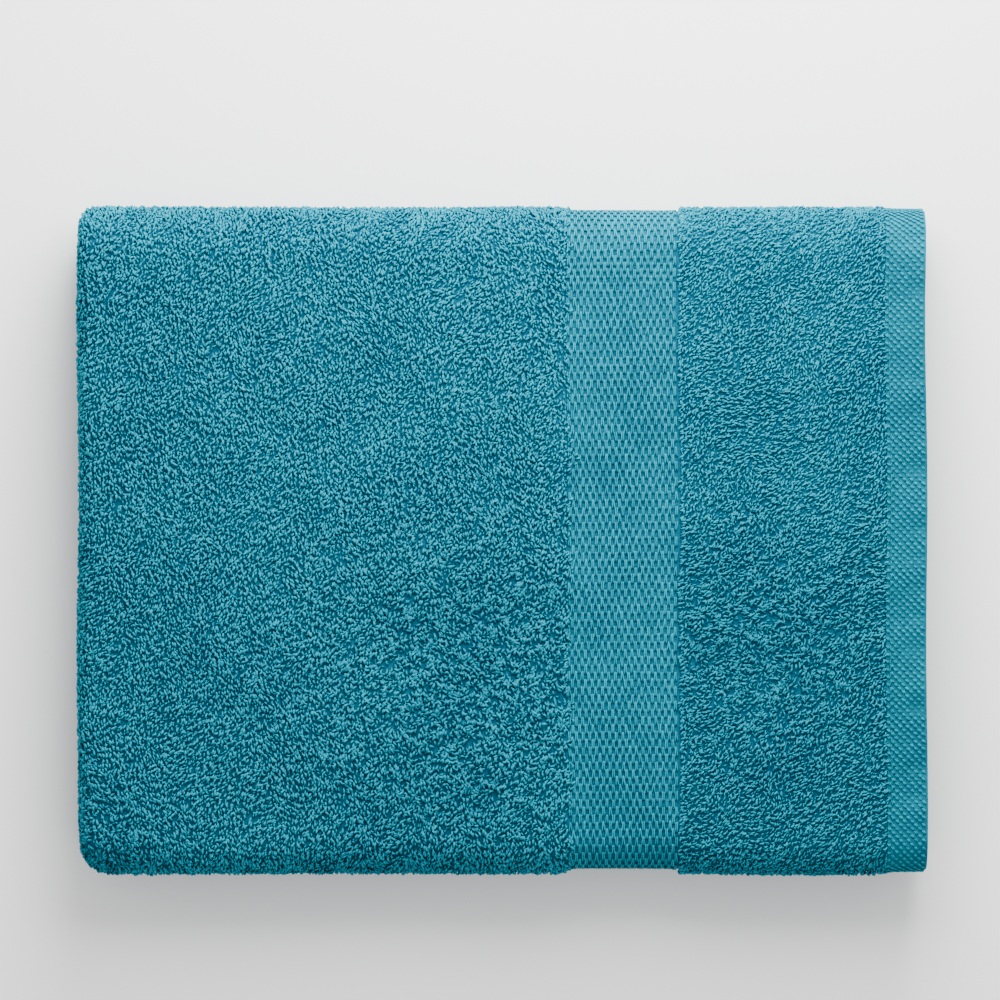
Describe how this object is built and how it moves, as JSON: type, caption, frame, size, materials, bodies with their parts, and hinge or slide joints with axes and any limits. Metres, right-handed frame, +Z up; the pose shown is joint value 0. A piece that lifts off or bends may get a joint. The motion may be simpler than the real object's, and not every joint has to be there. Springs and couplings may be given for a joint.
{
  "type": "folded bath towel",
  "caption": "Terry bath towel folded into a neat rectangular stack, with a flat dobby band and a turned hem across its visible end.",
  "frame": {"origin": "middle of the face that the folded towel lies on", "axes": "+X along the folded towel towards its ends and hems, +Y towards the back fold, +Z up"},
  "size_m": [0.3366, 0.2638, 0.0409],
  "materials": {
    "terry": "looped cotton pile, matte, deep teal",
    "dobby_weave": "flat dobby weave with small dashes, matte, teal",
    "hem_weave": "flat twill-like weave, turned and stitched, matte, teal",
    "thread": "matching sewing thread, slight sheen"
  },
  "bodies": {
    "lower_folds": {"lower_dobby_band_a": "dobby_weave", "lower_dobby_band_b": "dobby_weave", "lower_end_hem_a": "hem_weave", "lower_end_hem_b": "hem_weave", "lower_end_seam_a": "thread", "lower_end_seam_b": "thread", "lower_end_strip_a": "terry", "lower_end_strip_b": "terry", "lower_side_hem": "hem_weave", "lower_side_seam": "thread", "lower_terry_field": "terry"},
    "upper_folds": {"upper_dobby_band_a": "dobby_weave", "upper_dobby_band_b": "dobby_weave", "upper_end_hem_a": "hem_weave", "upper_end_hem_b": "hem_weave", "upper_end_seam_a": "thread", "upper_end_seam_b": "thread", "upper_end_strip_a": "terry", "upper_end_strip_b": "terry", "upper_side_hem": "hem_weave", "upper_side_seam": "thread", "upper_terry_field": "terry"}
  },
  "joints": [
    {"name": "back_fold", "type": "hinge", "parent": "lower_folds", "child": "upper_folds", "pos_m": [0, 0.13204, 0.02045], "axis": [-1, 0, 0], "range_deg": [0, 179.9]}
  ]
}
